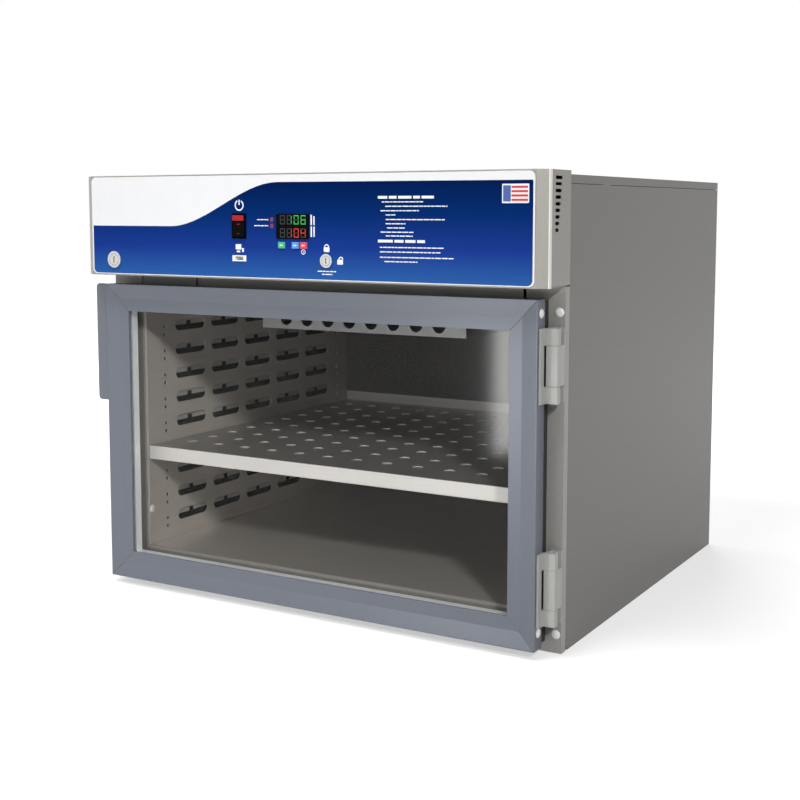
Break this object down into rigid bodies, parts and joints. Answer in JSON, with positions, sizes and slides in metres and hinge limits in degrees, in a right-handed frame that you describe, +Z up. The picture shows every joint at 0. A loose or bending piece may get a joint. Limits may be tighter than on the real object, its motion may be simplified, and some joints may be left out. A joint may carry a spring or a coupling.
{
  "type": "blanket warming cabinet",
  "caption": "Counter-top steel warming cabinet with a glazed hinged door, slotted warm-air side walls, a perforated shelf and a control header along the top.",
  "frame": {"origin": "centre of the underside of the base pan", "axes": "+Z up, -Y out of the door, +X to the hinge side (the right seen from the front)"},
  "size_m": [0.7653, 0.7229, 0.631],
  "materials": {
    "panel_steel": "satin stainless sheet",
    "liner_steel": "satin stainless sheet",
    "shelf_steel": "bright satin stainless sheet",
    "header_metal": "satin stainless sheet",
    "door_metal": "satin grey-blue powder coat on aluminium",
    "overlay": "printed polyester film",
    "glazing": "clear toughened pane",
    "bright_metal": "polished plating",
    "spacer_metal": "mill finish bar",
    "hinge_metal": "satin cast blocks",
    "seal": "black silicone",
    "black_plastic": "moulded black",
    "red_plastic": "moulded red and black rocker",
    "white_plastic": "moulded white",
    "green_plastic": "moulded green",
    "blue_plastic": "moulded blue",
    "red_key_plastic": "moulded red",
    "heater_metal": "oxidised heater sheath",
    "dark_metal": "dark enamel",
    "supply_metal": "folded aluminium case",
    "wool": "mineral wool board with foil inside"
  },
  "bodies": {
    "cabinet": {"base_pan": "panel_steel", "left_side_panel": "panel_steel", "right_side_panel": "panel_steel", "back_panel": "panel_steel", "top_cover": "panel_steel", "left_stile": "panel_steel", "right_stile": "panel_steel", "top_rail": "panel_steel", "bottom_rail": "panel_steel", "mouth_trim": "seal", "catch_plate": "bright_metal", "left_duct_panel": "liner_steel", "right_duct_panel": "liner_steel", "liner_back": "liner_steel", "liner_floor": "liner_steel", "liner_ceiling": "liner_steel", "insulation_jacket": "wool", "left_heater": "heater_metal", "right_heater": "heater_metal", "air_plenum": "liner_steel", "fan_motor": "dark_metal", "temperature_probe": "bright_metal", "left_shelf_rail": "liner_steel", "right_shelf_rail": "liner_steel", "header_fascia": "header_metal", "header_hood": "header_metal", "header_floor": "header_metal", "control_overlay": "overlay", "controller_module": "black_plastic", "switch_housing": "black_plastic", "data_socket": "white_plastic", "key_switch_body": "bright_metal", "lock_body": "bright_metal", "power_supply": "supply_metal", "power_inlet": "black_plastic", "lower_hinge_frame_leaf": "hinge_metal", "upper_hinge_frame_leaf": "hinge_metal", "lower_hinge_pin": "bright_metal", "upper_hinge_pin": "bright_metal"},
    "door": {"door_left_rail": "door_metal", "door_right_rail": "door_metal", "door_top_rail": "door_metal", "door_bottom_rail": "door_metal", "outer_glass": "glazing", "inner_glass": "glazing", "glass_spacer": "spacer_metal", "door_gasket": "seal", "door_handle": "door_metal", "lower_hinge_door_leaf": "hinge_metal", "upper_hinge_door_leaf": "hinge_metal"},
    "rocker": {"power_rocker": "red_plastic"},
    "key_switch": {"key_barrel": "bright_metal"},
    "door_lock": {"lock_barrel": "bright_metal"},
    "green_key": {"green_button": "green_plastic"},
    "blue_key": {"blue_button": "blue_plastic"},
    "red_key": {"red_button": "red_key_plastic"},
    "fan": {"fan_impeller": "dark_metal"},
    "shelf": {"shelf_deck": "shelf_steel", "shelf_front_lip": "shelf_steel", "shelf_rear_stop": "shelf_steel"}
  },
  "joints": [
    {"name": "door_swing", "type": "hinge", "parent": "cabinet", "child": "door", "pos_m": [0.3728, -0.348, 0.2395], "axis": [0, 0, 1], "range_deg": [0, 150]},
    {"name": "rocker_tilt", "type": "hinge", "parent": "cabinet", "child": "rocker", "pos_m": [-0.0885, -0.3905, 0.558], "axis": [1, 0, 0], "range_deg": [-6, 6]},
    {"name": "key_switch_turn", "type": "hinge", "parent": "cabinet", "child": "key_switch", "pos_m": [0.0586, -0.3975, 0.5118], "axis": [0, 1, 0], "range_deg": [0, 90]},
    {"name": "door_lock_turn", "type": "hinge", "parent": "cabinet", "child": "door_lock", "pos_m": [-0.322, -0.3975, 0.5065], "axis": [0, 1, 0], "range_deg": [0, 90]},
    {"name": "green_key_press", "type": "slide", "parent": "cabinet", "child": "green_key", "axis": [0, 1, 0], "range_m": [0, 0.001], "stiffness_N_per_m": 600},
    {"name": "blue_key_press", "type": "slide", "parent": "cabinet", "child": "blue_key", "axis": [0, 1, 0], "range_m": [0, 0.001], "stiffness_N_per_m": 600},
    {"name": "red_key_press", "type": "slide", "parent": "cabinet", "child": "red_key", "axis": [0, 1, 0], "range_m": [0, 0.001], "stiffness_N_per_m": 600},
    {"name": "fan_spin", "type": "hinge", "parent": "cabinet", "child": "fan", "pos_m": [0, -0.019, 0.41], "axis": [0, 0, 1], "continuous": true},
    {"name": "shelf_lift", "type": "slide", "parent": "cabinet", "child": "shelf", "axis": [0, 0, 1], "range_m": [0, 0.12]}
  ]
}
